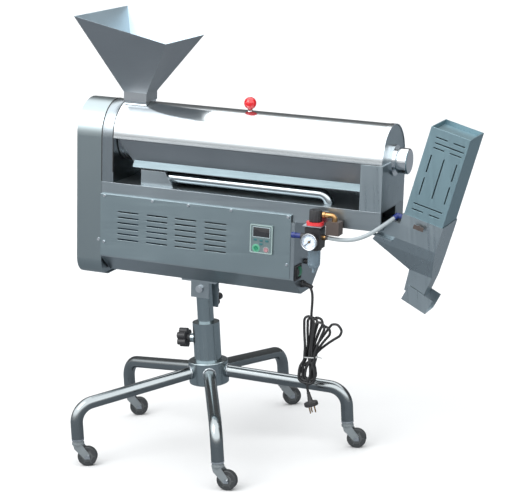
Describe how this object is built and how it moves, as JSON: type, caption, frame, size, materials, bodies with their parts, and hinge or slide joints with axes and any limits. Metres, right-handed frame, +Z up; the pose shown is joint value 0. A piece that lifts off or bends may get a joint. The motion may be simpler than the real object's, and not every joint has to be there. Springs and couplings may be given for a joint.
{
  "type": "capsule polisher with sorter",
  "caption": "Capsule polishing machine: sloping brush drum under a half-round hood, feed hopper, air sorter at the outlet, on a height-adjustable caster stand.",
  "frame": {"origin": "on the floor, under the middle of the machine's box", "axes": "+Z up, +X towards the discharge and sorter end, -Y towards the operator's side"},
  "size_m": [1.0795, 0.7345, 1.1385],
  "materials": {
    "brushed_steel": "brushed stainless sheet",
    "polished_steel": "polished stainless",
    "steel_tube": "polished stainless tube",
    "caster_grey": "grey moulded wheel",
    "zinc": "bright zinc plate",
    "black_plastic": "moulded",
    "red_plastic": "gloss",
    "green_plastic": "gloss",
    "pink_plastic": "gloss",
    "panel_plastic": "moulded",
    "brass": "machined",
    "bowl_clear": "clear polycarbonate",
    "hose": "translucent polyurethane",
    "rubber": "belt rubber",
    "cord": "PVC jacket",
    "bristle": "nylon bristle",
    "motor_paint": "enamel",
    "aluminium": "cast"
  },
  "bodies": {
    "stand": {"stand_post": "steel_tube", "stand_legs": "steel_tube", "caster_stems": "zinc"},
    "height_knob": {"height_knob": "black_plastic"},
    "column": {"inner_column": "steel_tube"},
    "tilt_knob": {"tilt_knob": "black_plastic"},
    "machine": {"tilt_bracket": "brushed_steel", "pivot_bolt": "zinc", "control_box": "brushed_steel", "cover_plate": "brushed_steel", "panel_screws": "zinc", "end_panel": "brushed_steel", "upper_frame": "brushed_steel", "inlet_frame": "brushed_steel", "trough": "brushed_steel", "discharge_duct": "brushed_steel", "shaft_bearings": "polished_steel", "drive_cover": "brushed_steel", "drive_bulkhead": "brushed_steel", "screen_tube": "brushed_steel", "suction_box": "brushed_steel", "vacuum_pipe": "polished_steel", "drive_motor": "motor_paint", "drive_belt": "rubber", "regulator_body": "black_plastic", "filter_bowl": "bowl_clear", "pressure_gauge": "polished_steel", "air_fittings": "brass", "speed_controller": "panel_plastic", "cord_gland": "black_plastic", "sorter_tower": "brushed_steel", "sorter_chute": "brushed_steel", "air_hose": "hose", "power_cord": "cord", "cord_hank": "cord", "power_plug": "cord", "hood_hinges": "brushed_steel"},
    "hood": {"hood": "polished_steel", "hood_handle": "red_plastic"},
    "hopper": {"feed_hopper": "brushed_steel"},
    "brush": {"brush_shaft": "brushed_steel", "spiral_brush": "bristle", "brush_pulley": "aluminium"},
    "motor_rotor": {"motor_pulley": "aluminium"},
    "power_switch": {"power_switch": "green_plastic"},
    "start_key": {"start_key": "green_plastic"},
    "stop_key": {"stop_key": "pink_plastic"},
    "regulator_knob": {"regulator_knob": "black_plastic"},
    "gauge_needle": {"gauge_needle": "black_plastic"},
    "sorter_screw": {"sorter_screw": "zinc"},
    "caster_1": {"caster_fork_1": "zinc"},
    "wheel_1": {"caster_wheel_1": "caster_grey"},
    "caster_2": {"caster_fork_2": "zinc"},
    "wheel_2": {"caster_wheel_2": "caster_grey"},
    "caster_3": {"caster_fork_3": "zinc"},
    "wheel_3": {"caster_wheel_3": "caster_grey"},
    "caster_4": {"caster_fork_4": "zinc"},
    "wheel_4": {"caster_wheel_4": "caster_grey"},
    "caster_5": {"caster_fork_5": "zinc"},
    "wheel_5": {"caster_wheel_5": "caster_grey"}
  },
  "joints": [
    {"name": "height_slide", "type": "slide", "parent": "stand", "child": "column", "axis": [0, 0, 1], "range_m": [-0.025, 0.07]},
    {"name": "body_tilt", "type": "hinge", "parent": "column", "child": "machine", "pos_m": [-0.2003, -0.024, 0.424], "axis": [0, 1, 0], "range_deg": [-4.7, 7.3]},
    {"name": "height_knob_turn", "type": "hinge", "parent": "stand", "child": "height_knob", "pos_m": [-0.2603, -0.024, 0.284], "axis": [-1, 0, 0], "range_deg": [-720, 0]},
    {"name": "tilt_knob_turn", "type": "hinge", "parent": "column", "child": "tilt_knob", "pos_m": [-0.2003, 0.016, 0.386], "axis": [0, 1, 0], "range_deg": [-720, 0]},
    {"name": "hood_lift", "type": "hinge", "parent": "machine", "child": "hood", "pos_m": [-0.02875, 0.0715, 0.79509], "axis": [-0.9966, 0, 0.0821], "range_deg": [0, 80]},
    {"name": "hopper_lift_off", "type": "slide", "parent": "hood", "child": "hopper", "axis": [0.0821, 0, 0.9966], "range_m": [0, 0.15]},
    {"name": "brush_spin", "type": "hinge", "parent": "machine", "child": "brush", "pos_m": [-0.06875, -0.024, 0.79668], "axis": [0.9966, 0, -0.0821], "continuous": true},
    {"name": "motor_spin", "type": "hinge", "parent": "machine", "child": "motor_rotor", "pos_m": [-0.48561, -0.024, 0.55981], "axis": [0.9966, 0, -0.0821], "continuous": true},
    {"name": "power_switch_rock", "type": "hinge", "parent": "machine", "child": "power_switch", "pos_m": [0.07701, -0.089, 0.48937], "axis": [0, 1, 0], "range_deg": [0, 12]},
    {"name": "regulator_knob_turn", "type": "hinge", "parent": "machine", "child": "regulator_knob", "pos_m": [0.16198, -0.138, 0.64392], "axis": [0.0821, 0, 0.9966], "range_deg": [-1080, 720]},
    {"name": "needle_turn", "type": "hinge", "parent": "machine", "child": "gauge_needle", "pos_m": [0.15722, -0.178, 0.58611], "axis": [0, 1, 0], "range_deg": [0, 270], "stiffness_Nm_per_rad": 0.002},
    {"name": "sorter_screw_turn", "type": "hinge", "parent": "machine", "child": "sorter_screw", "pos_m": [0.40929, -0.094, 0.61178], "axis": [0, -1, 0], "range_deg": [-720, 0]},
    {"name": "start_key_press", "type": "slide", "parent": "machine", "child": "start_key", "axis": [0, 1, 0], "range_m": [0, 0.0006], "stiffness_N_per_m": 800},
    {"name": "stop_key_press", "type": "slide", "parent": "machine", "child": "stop_key", "axis": [0, 1, 0], "range_m": [0, 0.0006], "stiffness_N_per_m": 800},
    {"name": "caster_swivel_1", "type": "hinge", "parent": "stand", "child": "caster_1", "pos_m": [-0.46108, -0.27938, 0.06], "axis": [0, 0, 1], "continuous": true},
    {"name": "wheel_spin_1", "type": "hinge", "parent": "caster_1", "child": "wheel_1", "pos_m": [-0.44041, -0.27185, 0.025], "axis": [-0.342, 0.9397, 0], "continuous": true},
    {"name": "caster_swivel_2", "type": "hinge", "parent": "stand", "child": "caster_2", "pos_m": [-0.03801, -0.35093, 0.06], "axis": [0, 0, 1], "continuous": true},
    {"name": "wheel_spin_2", "type": "hinge", "parent": "caster_2", "child": "wheel_2", "pos_m": [-0.01606, -0.3494, 0.025], "axis": [-0.0698, 0.9976, 0], "continuous": true},
    {"name": "caster_swivel_3", "type": "hinge", "parent": "stand", "child": "caster_3", "pos_m": [0.16078, 0.02932, 0.06], "axis": [0, 0, 1], "continuous": true},
    {"name": "wheel_spin_3", "type": "hinge", "parent": "caster_3", "child": "wheel_3", "pos_m": [0.18213, 0.03464, 0.025], "axis": [-0.2419, 0.9703, 0], "continuous": true},
    {"name": "caster_swivel_4", "type": "hinge", "parent": "stand", "child": "caster_4", "pos_m": [-0.13943, 0.33589, 0.06], "axis": [0, 0, 1], "continuous": true},
    {"name": "wheel_spin_4", "type": "hinge", "parent": "caster_4", "child": "wheel_4", "pos_m": [-0.12077, 0.34755, 0.025], "axis": [-0.5299, 0.848, 0], "continuous": true},
    {"name": "caster_swivel_5", "type": "hinge", "parent": "stand", "child": "caster_5", "pos_m": [-0.52376, 0.1451, 0.06], "axis": [0, 0, 1], "continuous": true},
    {"name": "wheel_spin_5", "type": "hinge", "parent": "caster_5", "child": "wheel_5", "pos_m": [-0.50399, 0.15475, 0.025], "axis": [-0.4384, 0.8988, 0], "continuous": true}
  ],
  "couplings": [
    {"joint": "motor_spin", "follows": "brush_spin", "ratio": 2}
  ]
}
